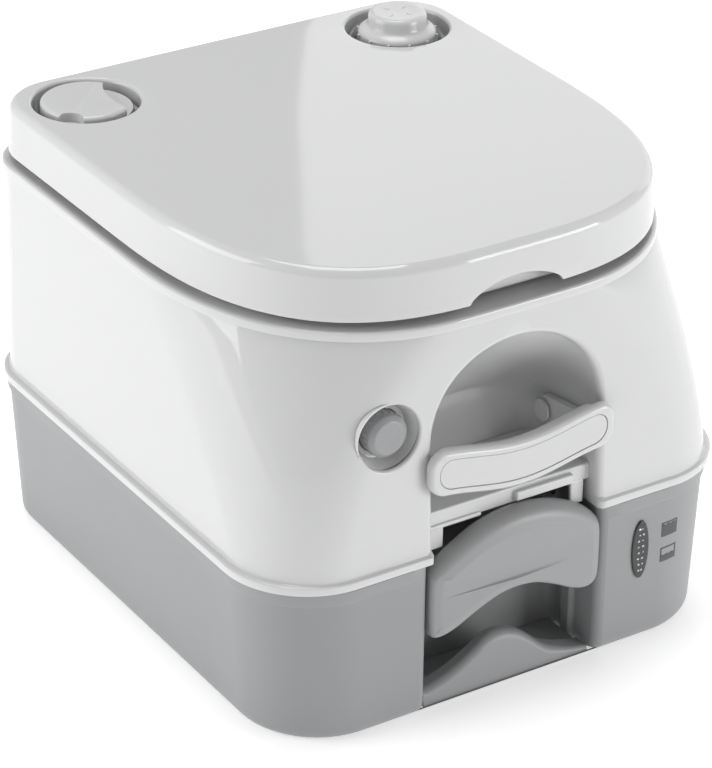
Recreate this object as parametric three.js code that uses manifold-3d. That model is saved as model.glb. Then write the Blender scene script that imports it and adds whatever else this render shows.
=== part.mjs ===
// Portable cassette toilet: a grey holding tank below, a white flush unit with
// bowl, seat and lid above. Millimetres, +X right seen from the front, -Y front,
// +Z up, origin on the floor under the middle of the body.
import * as THREE from 'three';
import { mergeVertices } from 'three/addons/utils/BufferGeometryUtils.js';
import Module from 'manifold-3d';

const wasm = await Module();
wasm.setup();

// ---- driving dimensions ----
const GAP = 0.3; // clearance between pieces that touch
const WALL = 3; // moulded wall thickness
const CORNER_STEPS = 8; // segments in a plan corner
const ROUND = 20; // sides of a round piece
const TANK_TOP = 105.7;
const UNIT_BOTTOM = 106.3;
const FLANGE_TOP = 112;
const CASING_TOP = 254.9;
const DECK_BOTTOM = 255.2;
const DECK_TOP = 259.2;
const LID_BOTTOM = 264.5;
const LID_TOP = 298;
const REACH = 188; // furthest front and rear point
const RECESS = { half: 62.5, tankBack: -136, unitBack: -115 };
const OUTLET = { y: 5, radius: 45 };
const BLADE = { half: 52, bottom: 97, top: 100, front: -145.7, rear: 56 };
const HINGE = { y: 169, z: 270, pinRadius: 2, knuckle: 3.8 };
const PUMP = { x: 115, y: 131, well: 34, knob: 26 };
const FILL = { x: -116, y: 131, well: 34, cap: 29 };
const BUTTON = { x: -89, z: 196, well: 20.5, radius: 13.5 };
const HANDLE = { half: 67, pivotY: -134, pivotZ: 154, bore: 4.8 };
const LENS = { x: 93, z: 67, halfWidth: 6, halfHeight: 20 };
const SPOUT = { x: 55, y: 150, z: 74, outer: 20, bore: 16.5, tip: 128 };
const VENT = { x: -72, z: 72 };
const LATCH = { half: 22, pivotZ: 138, pivotY: 185.6, knuckle: 2.4, pin: 1.2 };
const PICTOGRAM = { x: 116, y: -183.6, turn: 6 };

const COLOURS = {
  white: { color: 0xe6e7e8, roughness: 0.25, metalness: 0 },
  grey: { color: 0x9a9c9e, roughness: 0.5, metalness: 0 },
  dark: { color: 0x2b2c2e, roughness: 0.4, metalness: 0 },
  rubber: { color: 0x303030, roughness: 0.8, metalness: 0 },
  steel: { color: 0xb8babc, roughness: 0.3, metalness: 1 },
  pale: { color: 0xd9dde0, roughness: 0.4, metalness: 0 },
};

// ---- solids ----
function solid(geometry) {
  const bare = geometry.clone();
  bare.deleteAttribute('normal');
  bare.deleteAttribute('uv');
  const merged = mergeVertices(bare, 1e-3);
  const triVerts = new Uint32Array(merged.index.array);
  const vertProperties = new Float32Array(merged.attributes.position.array);
  const made = new wasm.Manifold(new wasm.Mesh({ numProp: 3, vertProperties, triVerts }));
  if (made.volume() > 0) return made;
  const flipped = triVerts.slice();
  for (let i = 0; i < flipped.length; i += 3) {
    flipped[i] = triVerts[i + 1];
    flipped[i + 1] = triVerts[i];
  }
  return new wasm.Manifold(new wasm.Mesh({ numProp: 3, vertProperties, triVerts: flipped }));
}

function mesh(name, body, look) {
  const made = body.getMesh();
  const geometry = new THREE.BufferGeometry();
  const points = new Float32Array(made.vertProperties);
  geometry.setAttribute('position', new THREE.BufferAttribute(points, 3));
  geometry.setIndex(new THREE.BufferAttribute(new Uint32Array(made.triVerts), 1));
  geometry.computeVertexNormals();
  const piece = new THREE.Mesh(geometry, new THREE.MeshStandardMaterial(COLOURS[look]));
  piece.name = name;
  return piece;
}

// A closed body through a stack of loops that all have the same number of points
function loft(loops) {
  const count = loops[0].length;
  const points = loops.flat(2);
  const faces = [];
  for (let level = 0; level < loops.length - 1; level += 1) {
    for (let i = 0; i < count; i += 1) {
      const a = level * count + i;
      const b = level * count + ((i + 1) % count);
      faces.push(a, b, b + count, a, b + count, a + count);
    }
  }
  for (const [level, turn] of [[0, 1], [loops.length - 1, 0]]) {
    const centre = points.length / 3;
    for (const axis of [0, 1, 2]) {
      points.push(loops[level].reduce((sum, p) => sum + p[axis], 0) / count);
    }
    for (let i = 0; i < count; i += 1) {
      const a = level * count + i;
      const b = level * count + ((i + 1) % count);
      faces.push(centre, turn ? b : a, turn ? a : b);
    }
  }
  const geometry = new THREE.BufferGeometry();
  geometry.setAttribute('position', new THREE.Float32BufferAttribute(points, 3));
  geometry.setIndex(faces);
  return solid(geometry);
}

// Plan outline with superelliptic front corners (power, 2 is an ellipse) and round rear ones, at one height
function plan(z, { half, front, rear, rx, ry, rr, power = 2 }, grow = 0) {
  const corners = [
    [half - rx, front + ry, rx, ry, -90, power],
    [half - rr, rear - rr, rr, rr, 0, 2],
    [rr - half, rear - rr, rr, rr, 90, 2],
    [rx - half, front + ry, rx, ry, 180, power],
  ];
  const square = (value, n) => Math.sign(value) * Math.abs(value) ** (2 / n);
  return corners.flatMap(([cx, cy, ex, ey, start, n]) =>
    Array.from({ length: CORNER_STEPS + 1 }, (_, i) => {
      const turn = THREE.MathUtils.degToRad(start + (90 * i) / CORNER_STEPS);
      return [cx + (ex + grow) * square(Math.cos(turn), n), cy + (ey + grow) * square(Math.sin(turn), n), z];
    }));
}

function ellipse(z, cy, ax, ay, steps = 28) {
  return Array.from({ length: steps }, (_, i) => {
    const turn = (2 * Math.PI * i) / steps;
    return [ax * Math.cos(turn), cy + ay * Math.sin(turn), z];
  });
}

function block(x0, x1, y0, y1, z0, z1) {
  const box = new THREE.BoxGeometry(x1 - x0, y1 - y0, z1 - z0);
  box.translate((x0 + x1) / 2, (y0 + y1) / 2, (z0 + z1) / 2);
  return solid(box);
}

// Round bar along an axis from a to b; (u, v) is its place on the other two axes
function bar(axis, radius, a, b, u, v, { sides = ROUND, end = radius } = {}) {
  const drum = new THREE.CylinderGeometry(end, radius, b - a, sides);
  drum.translate(0, (a + b) / 2, 0);
  if (axis === 'x') drum.rotateZ(-Math.PI / 2);
  if (axis === 'z') drum.rotateX(Math.PI / 2);
  const place = { x: [0, u, v], y: [u, 0, v], z: [u, v, 0] }[axis];
  drum.translate(...place);
  return solid(drum);
}

function tube(axis, outer, inner, a, b, u, v) {
  return bar(axis, outer, a, b, u, v).subtract(bar(axis, inner, a - 1, b + 1, u, v));
}

// Outline in x and z, thickened from y0 to y1
function slabY(shape, y0, y1, curveSegments = 8) {
  const slab = new THREE.ExtrudeGeometry(shape, { depth: y1 - y0, bevelEnabled: false, curveSegments });
  slab.rotateX(Math.PI / 2);
  slab.translate(0, y1, 0);
  return solid(slab);
}

// Turned profile of [radius, height] pairs about a vertical axis
function turned(profile, x, y, sides = ROUND) {
  const lathe = new THREE.LatheGeometry(profile.map(([r, z]) => new THREE.Vector2(r, z)), sides);
  lathe.rotateX(Math.PI / 2);
  lathe.translate(x, y, 0);
  return solid(lathe);
}

// Compression spring along Y
function spring(x, z, y0, y1, radius, wire, turns) {
  const helix = new THREE.Curve();
  helix.getPoint = (t) => {
    const angle = 2 * Math.PI * turns * t;
    return new THREE.Vector3(x + radius * Math.cos(angle), y0 + (y1 - y0) * t, z + radius * Math.sin(angle));
  };
  const section = new THREE.Shape();
  section.absarc(0, 0, wire, 0, 2 * Math.PI, false);
  const options = { steps: turns * 10, extrudePath: helix, bevelEnabled: false, curveSegments: 3 };
  return solid(new THREE.ExtrudeGeometry(section, options));
}

// ---- plan outlines of the shells ----
const tankPlan = (half, front, radius) => (
  { half, front: -front, rear: front, rx: radius, ry: radius, rr: radius - 14 });
const TANK_LEVELS = [
  [0, tankPlan(154, 175, 48)],
  [2, tankPlan(158, 179.5, 52)],
  [7, tankPlan(161.7, 183, 55)],
  [97, tankPlan(167.4, 183.2, 56)],
  [97.6, tankPlan(169, 184.6, 57)],
  [TANK_TOP, tankPlan(169.4, 184.8, 57)],
];
const FLANGE = { half: 171.5, front: -186, rear: 186, rx: 57, ry: 57, rr: 47 };
const casingPlan = (z) => {
  const rise = (z - FLANGE_TOP) / (CASING_TOP - FLANGE_TOP);
  return {
    half: 167 - 1.8 * rise, front: -183 + 7.4 * rise, rear: 183 - 4 * rise,
    rx: 50 + 80 * rise ** 2, ry: 57 + 101 * rise ** 1.3, rr: 43 - 2 * rise, power: 2 + 0.2 * rise ** 2,
  };
};
const RIM = { half: 166.6, front: -177, rear: 180.5, rx: 131, ry: 159, rr: 40, power: 2.2 };
const LID_LOW = { half: 163, front: -174.6, rear: 176.5, rx: 150, ry: 190, rr: 38, power: 2.75 };
const LID_HIGH = { half: 161, front: -173.6, rear: 175.5, rx: 148, ry: 188, rr: 36, power: 2.75 };

// Hand recess in the front: straight sides and an arched roof that slopes back
function recessCut(grow) {
  const arch = (y, half, shoulder, rise) => {
    const width = half + grow;
    const left = [[-width, y, 90], [-width, y, 130], [-width, y, shoulder]];
    const right = [[width, y, shoulder], [width, y, 130], [width, y, 90]];
    const roof = Array.from({ length: 9 }, (_, i) => {
      const turn = Math.PI * (1 - (i + 1) / 10);
      return [width * Math.cos(turn), y, shoulder + (rise + grow) * Math.sin(turn) ** 0.9];
    });
    return [...left, ...roof, ...right];
  };
  const back = RECESS.unitBack + grow;
  return loft([arch(-200, 61, 181, 60), arch(-178, 61, 181, 60), arch(back, 58, 152, 22)]);
}

const tankRecess = (grow) => block(-RECESS.half - grow, RECESS.half + grow, -200, RECESS.tankBack + grow, -1, 120);
const tankChannel = (grow) => block(-60 - grow, 60 + grow, -150, 62.5 + grow, 93.5 - grow, 120);
const spoutBay = (grow) => block(28 - grow, 200, 118 - grow, 200, 44 - grow, 120);

// ---- lower half: holding tank ----
function holdingTank() {
  const outer = loft(TANK_LEVELS.map(([z, outline]) => plan(z, outline)));
  const [foot, , belly, shoulder] = TANK_LEVELS.map((level) => level[1]);
  const hollow = [[WALL, foot], [9, belly], [TANK_TOP - WALL, shoulder]];
  const inner = loft(hollow.map(([z, outline]) => plan(z, outline, -WALL)));
  const cutters = (grow) => tankRecess(grow).add(tankChannel(grow)).add(spoutBay(grow));
  const shell = outer.subtract(cutters(0)).subtract(inner.subtract(cutters(WALL)));
  const valveHole = bar('z', OUTLET.radius, 85, 100, 0, OUTLET.y, { sides: 32 });
  const spoutHole = bar('z', 15, 38, 48, SPOUT.x, SPOUT.y);
  const ventHole = bar('y', 8, 170, 190, VENT.x, VENT.z);
  return shell.subtract(valveHole).subtract(spoutHole).subtract(ventHole);
}

function footTab() {
  const hump = new THREE.Shape();
  hump.moveTo(-60, 0);
  hump.lineTo(60, 0);
  hump.lineTo(60, 10);
  hump.bezierCurveTo(38, 13, 30, 34, 0, 34);
  hump.bezierCurveTo(-30, 34, -38, 16, -60, 16);
  hump.closePath();
  return slabY(hump, -176, -169, 6).add(block(-60, 60, -170, RECESS.tankBack - GAP, 0, 4));
}

function valveFrame() {
  const body = block(-59.6, 59.6, -62, 62, 93.8, 104.8);
  const slot = block(-BLADE.half - 0.6, BLADE.half + 0.6, -70, 57, BLADE.bottom - 0.4, BLADE.top + 0.4);
  return body.subtract(slot).subtract(bar('z', OUTLET.radius, 90, 110, 0, OUTLET.y, { sides: 32 }));
}

function crescent(bottomEnd, topEnd, bottomMid, topMid, half) {
  const shape = new THREE.Shape();
  shape.moveTo(-half, bottomEnd);
  shape.quadraticCurveTo(0, 2 * bottomMid - bottomEnd, half, bottomEnd);
  shape.lineTo(half + 1, (bottomEnd + topEnd) / 2);
  shape.quadraticCurveTo(half, topEnd, half - 8, topEnd + 4);
  shape.quadraticCurveTo(0, 2 * topMid - topEnd - 4, 8 - half, topEnd + 4);
  shape.quadraticCurveTo(-half, topEnd, -half - 1, (bottomEnd + topEnd) / 2);
  shape.closePath();
  return shape;
}

function valveHandle() {
  const face = slabY(crescent(52, 96, 70, 121, 59), -186, -179);
  const middle = slabY(crescent(55, 98, 73, 124.5, 60), -179, -173);
  const lower = block(-61, 61, -180, -160, 50, 104);
  const back = slabY(crescent(55, 98, 73, 124.5, 60), -173.5, -160).intersect(lower);
  const tongue = block(-44, 44, -161, BLADE.front - GAP, BLADE.bottom - 1.5, BLADE.top + 1.5);
  return face.add(middle).add(back).add(tongue);
}

function levelLens() {
  const rise = LENS.halfHeight - LENS.halfWidth;
  const shape = new THREE.Shape();
  shape.absarc(LENS.x, LENS.z + rise, LENS.halfWidth, 0, Math.PI, false);
  shape.absarc(LENS.x, LENS.z - rise, LENS.halfWidth, Math.PI, 2 * Math.PI, false);
  shape.closePath();
  const pocket = block(LENS.x - 2.2, LENS.x + 2.2, -190, -184.6, LENS.z - 15, LENS.z + 15);
  return slabY(shape, -185.6, -183.7, 6).subtract(pocket);
}

const levelPrisms = () => block(LENS.x - 1.9, LENS.x + 1.9, -185.3, -184.9, LENS.z - 14.7, LENS.z + 14.7);

function pictogram(z, level) {
  const frame = block(-6, 6, -0.4, 0.4, z - 5, z + 5);
  const window = block(-5, 5, -1, 1, z - 4 + 8 * level, z + 4);
  const shown = level < 1 ? frame.subtract(window) : frame;
  return shown.rotate([0, 0, PICTOGRAM.turn]).translate([PICTOGRAM.x, PICTOGRAM.y, 0]);
}

// ---- discharge spout, vent and latch at the rear ----
function spoutCollar() {
  return tube('z', 21, 15.5, 44.3, 49, SPOUT.x, SPOUT.y);
}

function pourSpout() {
  const riser = bar('z', SPOUT.outer, 49.4, SPOUT.z, SPOUT.x, SPOUT.y);
  const arm = bar('x', SPOUT.outer, SPOUT.x, SPOUT.tip, SPOUT.y, SPOUT.z);
  const shoulder = solid(new THREE.SphereGeometry(SPOUT.outer, ROUND, 12)
    .translate(SPOUT.x, SPOUT.y, SPOUT.z));
  const bore = bar('z', SPOUT.bore, 48, SPOUT.z, SPOUT.x, SPOUT.y)
    .add(bar('x', SPOUT.bore, SPOUT.x, SPOUT.tip + 1, SPOUT.y, SPOUT.z));
  return riser.add(arm).add(shoulder).subtract(bore);
}

function spoutCap() {
  const cup = bar('x', 23.5, SPOUT.tip - 9, SPOUT.tip + 5, SPOUT.y, SPOUT.z);
  const grip = block(SPOUT.tip + 4, SPOUT.tip + 12, SPOUT.y - 3, SPOUT.y + 3, SPOUT.z - 20, SPOUT.z + 20);
  const socket = bar('x', SPOUT.outer + 0.5, SPOUT.tip - 10, SPOUT.tip + 2, SPOUT.y, SPOUT.z);
  return cup.add(grip).subtract(socket);
}

const spoutCapSeal = () => tube('x', SPOUT.outer, SPOUT.bore, SPOUT.tip + GAP, SPOUT.tip + 1.7, SPOUT.y, SPOUT.z);

function ventButton() {
  const cap = bar('y', 7.6, 184.2, REACH, VENT.x, VENT.z, { end: 6.8 });
  return cap.add(bar('y', 3, 160, 185, VENT.x, VENT.z, { sides: 16 }));
}

function ventValve() {
  const cup = bar('y', 10.5, 168, 179.8, VENT.x, VENT.z);
  const well = bar('y', 8.3, 171, 181, VENT.x, VENT.z);
  return cup.subtract(well).subtract(bar('y', 3.4, 160, 180, VENT.x, VENT.z, { sides: 16 }));
}

const latchBar = (radius, reach) =>
  bar('x', radius, -reach, reach, LATCH.pivotY, LATCH.pivotZ, { sides: 16 });

function rearLatch() {
  const neck = LATCH.half - 5;
  const shape = new THREE.Shape();
  shape.moveTo(-LATCH.half, 90);
  shape.lineTo(LATCH.half, 90);
  shape.lineTo(LATCH.half, 128);
  shape.lineTo(neck, 132.5);
  shape.lineTo(neck, 139.5);
  shape.lineTo(-neck, 139.5);
  shape.lineTo(-neck, 132.5);
  shape.lineTo(-LATCH.half, 128);
  shape.closePath();
  const plate = slabY(shape, 186.6, REACH, 4);
  const hook = block(-14, 14, 183.7, 187, 92.5, 96.6);
  return plate.add(hook).add(latchBar(LATCH.knuckle, neck)).subtract(latchBar(LATCH.pin + GAP, 30));
}

function latchBracket() {
  const inner = LATCH.half - 4.5;
  const left = block(-inner - 6, -inner, 182.9, REACH, 133.5, 141.5);
  const right = block(inner, inner + 6, 182.9, REACH, 133.5, 141.5);
  const base = block(-inner - 6, inner + 6, 182.7, 183.4, 141, 146)
    .add(block(-inner - 6, -inner, 182.7, 183.4, 133.5, 146))
    .add(block(inner, inner + 6, 182.7, 183.4, 133.5, 146));
  return left.add(right).add(base).subtract(latchBar(LATCH.pin + GAP, 30));
}

// ---- upper half: flush unit ----
function buttonHole(radius) {
  return bar('y', radius, -200, -150, BUTTON.x, BUTTON.z);
}

function upperCasing() {
  const heights = [FLANGE_TOP, 150, 185, 215, 238, CASING_TOP];
  const walls = heights.map((z) => plan(z, casingPlan(z)));
  const outer = loft([plan(UNIT_BOTTOM, FLANGE), plan(FLANGE_TOP - 0.6, FLANGE), ...walls]);
  const low = plan(UNIT_BOTTOM - 1, casingPlan(FLANGE_TOP), -WALL);
  const inner = loft([low, ...heights.map((z, i) => plan(i === heights.length - 1 ? z + 1 : z, casingPlan(z), -WALL))]);
  const pins = bar('x', HANDLE.bore + GAP, -80, 80, HANDLE.pivotY, HANDLE.pivotZ, { sides: 16 });
  return outer.subtract(recessCut(0)).subtract(inner.subtract(recessCut(WALL)))
    .subtract(buttonHole(BUTTON.well + 1.5)).subtract(pins);
}

function frontApron() {
  const plate = block(-56, 56, -172.5, -169.5, 106.6, 133);
  const shelf = block(-56, 56, -172, RECESS.unitBack - 1, 130, 133);
  const notch = block(-46, 46, -180, -160, 100, 122);
  return plate.add(shelf).subtract(notch);
}

function basePlate() {
  const outline = casingPlan(FLANGE_TOP);
  const sheet = loft([plan(107, outline, -WALL - 0.5), plan(110, outline, -WALL - 0.5)]);
  return sheet.subtract(recessCut(WALL + 0.5)).subtract(bar('z', 56, 100, 120, 0, OUTLET.y, { sides: 32 }));
}

function bowl() {
  const levels = [
    [108, 5, 47, 47], [120, 4, 50, 52], [142, -6, 60, 67], [171, -19, 72, 82],
    [200, -29, 82, 97], [232, -34, 90, 108], [DECK_TOP, -36, 94, 113],
  ];
  const outer = loft(levels.map(([z, cy, ax, ay]) => ellipse(z, cy, ax, ay)));
  const inner = loft([[107, 5, 44, 44], ...levels.slice(1, -1), [DECK_TOP + 1, -36, 94, 113]]
    .map(([z, cy, ax, ay]) => ellipse(z, cy, ax - WALL, ay - WALL)));
  const deck = loft([plan(DECK_BOTTOM, RIM), plan(DECK_TOP - 1, RIM), plan(DECK_TOP, RIM, -1)]);
  const pumpHole = bar('z', 24.5, 250, 265, PUMP.x, PUMP.y);
  const fillHole = bar('z', 25.5, 250, 265, FILL.x, FILL.y);
  const nozzleHole = bar('y', 6, 60, 90, 0, 238, { sides: 16 });
  return deck.add(outer).subtract(inner).subtract(pumpHole).subtract(fillHole).subtract(nozzleHole);
}

const outletSeal = () => tube('z', 53, 46, 105.1, 107.7, 0, OUTLET.y);

function buttonBezel() {
  const cup = bar('y', BUTTON.well - 2, -166, -164, BUTTON.x, BUTTON.z)
    .add(bar('y', BUTTON.well + 1.2, -179, -164, BUTTON.x, BUTTON.z));
  const cone = bar('y', BUTTON.well, -180, -167, BUTTON.x, BUTTON.z, { end: 17 });
  return cup.subtract(cone).subtract(bar('y', BUTTON.radius + 0.4, -190, -150, BUTTON.x, BUTTON.z));
}

function flushButton() {
  const head = bar('y', 10.7, -179.4, -177.4, BUTTON.x, BUTTON.z, { end: BUTTON.radius })
    .add(bar('y', BUTTON.radius, -177.4, -162, BUTTON.x, BUTTON.z));
  return head.add(bar('y', 3.5, -163, -128, BUTTON.x, BUTTON.z, { sides: 16 }));
}

function flushValve() {
  const body = bar('y', 16, -150, -108, BUTTON.x, BUTTON.z);
  const chamber = bar('y', 12, -151, -126, BUTTON.x, BUTTON.z);
  const stem = bar('y', 3.9, -130, -116, BUTTON.x, BUTTON.z, { sides: 16 });
  return body.subtract(chamber).subtract(stem).subtract(bar('z', 4, 190, 214, BUTTON.x, -113, { sides: 16 }));
}

const flushSpring = () => spring(BUTTON.x, BUTTON.z, -160.5, -128, 8, 0.9, 4);
const ventSpring = () => spring(VENT.x, VENT.z, 171.9, 183.3, 6.2, 0.5, 3);

// Water line from the pump past the flush valve to the rim nozzle, behind the bowl
function flushHose() {
  const path = new THREE.CatmullRomCurve3([
    new THREE.Vector3(88, 118, 130), new THREE.Vector3(60, 118, 134), new THREE.Vector3(30, 114, 150),
    new THREE.Vector3(12, 108, 185), new THREE.Vector3(2, 104, 222), new THREE.Vector3(0, 100, 238),
    new THREE.Vector3(0, 93, 238),
  ]);
  const section = new THREE.Shape();
  section.absarc(0, 0, 5, 0, 2 * Math.PI, false);
  const options = { steps: 22, extrudePath: path, bevelEnabled: false, curveSegments: 4 };
  return solid(new THREE.ExtrudeGeometry(section, options));
}

function rimNozzle() {
  const stub = bar('y', 5.6, 68, 92.5, 0, 238, { sides: 16 }).add(bar('y', 9, 80, 83, 0, 238, { sides: 16 }));
  const fan = block(-14, 14, 60, 68.5, 233, 243);
  return stub.add(fan).subtract(bar('y', 3.5, 64, 94, 0, 238, { sides: 12 }))
    .subtract(block(-11, 11, 59, 66, 235, 236.6));
}

// ---- hand pump ----
function pumpCylinder() {
  const body = bar('z', 24, 118, 262, PUMP.x, PUMP.y);
  const bore = bar('z', 21, 121, 259, PUMP.x, PUMP.y);
  const flange = bar('z', 30, 259.5, 262, PUMP.x, PUMP.y);
  const inlet = bar('z', 5, 110, 125, PUMP.x, PUMP.y, { sides: 16 });
  const mouth = bar('z', 5.5, 250, 270, PUMP.x, PUMP.y, { sides: 16 });
  return body.add(flange).subtract(bore).subtract(inlet).subtract(mouth);
}

const pumpPiston = () => bar('z', 19.6, 150, 160, PUMP.x, PUMP.y)
  .subtract(tube('z', 21, 17.8, 153, 157, PUMP.x, PUMP.y))
  .subtract(bar('z', 4.3, 148, 162, PUMP.x, PUMP.y, { sides: 16 }));
const pistonSeal = () => tube('z', 20.6, 18.1, 153.3, 156.7, PUMP.x, PUMP.y);
const pumpRod = () => bar('z', 4, 146, 283, PUMP.x, PUMP.y, { sides: 16 });

function pumpKnob() {
  const profile = [
    [0, 268], [23, 268], [26, 270], [26, 292], [24.4, 297], [20.5, 299.2], [19.4, 303],
    [18.6, 306.6], [17, 308], [0, 308],
  ];
  return turned(profile, PUMP.x, PUMP.y, 32).subtract(bar('z', 4.3, 260, 284, PUMP.x, PUMP.y, { sides: 16 }));
}

// ---- water filler ----
function fillNeck() {
  const neck = tube('z', 25, 22, 238, 283, FILL.x, FILL.y);
  return neck.add(tube('z', 30, 22, 259.5, 262, FILL.x, FILL.y));
}

const fillCapSeal = () => tube('z', 25, 21.5, 283.3, 285.2, FILL.x, FILL.y);

function fillCap() {
  const body = bar('z', FILL.cap, 277, 296, FILL.x, FILL.y, { sides: 32 })
    .add(bar('z', FILL.cap, 296, 298.4, FILL.x, FILL.y, { sides: 32, end: FILL.cap - 2.4 }));
  const socket = bar('z', 25.5, 276, 285.5, FILL.x, FILL.y);
  const flat = block(FILL.x + 13, FILL.x + 40, FILL.y - 40, FILL.y + 40, 292, 300);
  const scoop = block(FILL.x - 20, FILL.x - 9, FILL.y - 30, FILL.y - 17, 292, 300);
  return body.subtract(socket).subtract(flat).subtract(scoop);
}

// ---- seat and lid ----
const ears = (spans, radius, reachY) => spans.map(([a, b]) =>
  bar('x', radius, a, b, HINGE.y, HINGE.z, { sides: 16 })
    .add(block(a, b, Math.min(reachY, HINGE.y), Math.max(reachY, HINGE.y), HINGE.z - 3, HINGE.z + 1)));
const pinEye = () => bar('x', HINGE.pinRadius + GAP, -100, 100, HINGE.y, HINGE.z, { sides: 16 });

function seat() {
  const outline = { half: 148, front: -163, rear: 84, rx: 112, ry: 92, rr: 30 };
  const ring = loft([
    plan(262, outline, -3), plan(264, outline), plan(272, outline), plan(275, outline, -4),
  ]);
  const opening = loft([[250, 90, 109], [266, 86, 105], [276, 91, 110]].map(([z, ax, ay]) => ellipse(z, -37, ax, ay)));
  const tongue = block(-70, 70, 74, 143, 264, 272);
  const knuckles = ears([[-70, -58], [58, 70]], HINGE.knuckle, 140);
  return knuckles.reduce((sum, ear) => sum.add(ear), ring.add(tongue)).subtract(opening).subtract(pinEye());
}

function hingeBracket(side) {
  const a = side > 0 ? 47 : -57;
  const foot = block(a, a + 10, 146, 159, DECK_TOP + GAP, HINGE.z + 2);
  const arm = block(a, a + 10, 158, HINGE.y, HINGE.z - 2.8, HINGE.z + 2);
  const eye = bar('x', HINGE.knuckle, a, a + 10, HINGE.y, HINGE.z, { sides: 16 });
  return foot.add(arm).add(eye).subtract(pinEye());
}

const hingePin = (side) => bar('x', HINGE.pinRadius, side > 0 ? 36 : -71, side > 0 ? 71 : -36, HINGE.y, HINGE.z, { sides: 16 });

function lid() {
  const outer = loft([
    plan(LID_BOTTOM, LID_LOW, -1), plan(LID_BOTTOM + 1.5, LID_LOW), plan(292.5, LID_HIGH),
    plan(295.6, LID_HIGH, -1.6), plan(297, LID_HIGH, -5), plan(LID_TOP, LID_HIGH, -32),
  ]);
  const inner = loft([
    plan(LID_BOTTOM - 1, LID_LOW, -WALL), plan(292, LID_HIGH, -WALL), plan(294, LID_HIGH, -8),
  ]);
  const wells = [PUMP, FILL].map(({ x, y, well }) => bar('z', well + 2.5, 281, 296, x, y, { sides: 32 }));
  const holes = [PUMP, FILL].map(({ x, y, well }) => bar('z', well, 270, 310, x, y, { sides: 32 }));
  const lugs = ears([[-46, -37], [37, 46]], HINGE.knuckle, 174.5);
  const notch = new THREE.Shape();
  notch.moveTo(-34, 260);
  notch.lineTo(34, 260);
  notch.lineTo(34, 267);
  notch.bezierCurveTo(20, 271, 16, 280, 0, 280);
  notch.bezierCurveTo(-16, 280, -20, 271, -34, 267);
  notch.closePath();
  let cover = outer.subtract(inner);
  for (const well of wells) cover = cover.add(well);
  for (const lug of lugs) cover = cover.add(lug);
  for (const hole of holes) cover = cover.subtract(hole);
  return cover.subtract(slabY(notch, -190, -165, 5)).subtract(pinEye());
}

const bumper = (x, y, z0, z1) => bar('z', 5, z0, z1, x, y, { sides: 12 });

// ---- carry handle ----
function smile(half, height, endZ, midZ) {
  const shape = new THREE.Shape();
  const radius = Math.min(9, height / 2 - 1);
  const [low, high] = [endZ - height / 2, endZ + height / 2];
  const dip = 2 * (midZ - endZ);
  shape.moveTo(-half + radius, low);
  shape.quadraticCurveTo(0, low + dip, half - radius, low);
  shape.absarc(half - radius, low + radius, radius, -Math.PI / 2, 0, false);
  shape.absarc(half - radius, high - radius, radius, 0, Math.PI / 2, false);
  shape.quadraticCurveTo(0, high + dip, radius - half, high);
  shape.absarc(radius - half, high - radius, radius, Math.PI / 2, Math.PI, false);
  shape.absarc(radius - half, low + radius, radius, Math.PI, 1.5 * Math.PI, false);
  shape.closePath();
  return shape;
}

function carryHandle() {
  const face = slabY(smile(HANDLE.half, 30, 166, 159.5), -REACH, -184.8, 4);
  const grip = slabY(smile(58.5, 27, 166, 159.5), -185, -175, 4);
  const pocket = slabY(smile(61, 20, 166, 159.5), -190, -186.9, 4);
  let handle = face.add(grip).subtract(pocket);
  for (const [a, b] of [[-57.4, -52.4], [52.4, 57.4]]) {
    const arm = new THREE.Shape();
    arm.moveTo(-HANDLE.pivotY, HANDLE.pivotZ - 8);
    arm.lineTo(-HANDLE.pivotY, HANDLE.pivotZ + 8);
    arm.lineTo(178, 177);
    arm.lineTo(178, 157);
    arm.closePath();
    const web = new THREE.ExtrudeGeometry(arm, { depth: b - a, bevelEnabled: false });
    web.rotateX(Math.PI / 2);
    web.rotateZ(-Math.PI / 2);
    web.translate(b, 0, 0);
    handle = handle.add(solid(web)).add(bar('x', 8, a, b, HANDLE.pivotY, HANDLE.pivotZ));
  }
  return handle.subtract(bar('x', HANDLE.bore + GAP, -80, 80, HANDLE.pivotY, HANDLE.pivotZ, { sides: 16 }));
}

const handleInsert = () => slabY(smile(60.6, 19.2, 166, 159.5), -187.7, -187.2, 4);

function handlePin(side) {
  const [a, b] = side > 0 ? [51, 66] : [-66, -51];
  const head = side > 0 ? [49.6, 51] : [-51, -49.6];
  return bar('x', HANDLE.bore, a, b, HANDLE.pivotY, HANDLE.pivotZ, { sides: 16 })
    .add(bar('x', 7, ...head, HANDLE.pivotY, HANDLE.pivotZ, { sides: 16 }));
}

// ---- assembly ----
const SEAT_PADS = [[-105, -95], [105, -95], [-118, 40], [118, 40]];
const LID_PADS = [[-118, -70], [118, -70]];

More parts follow.
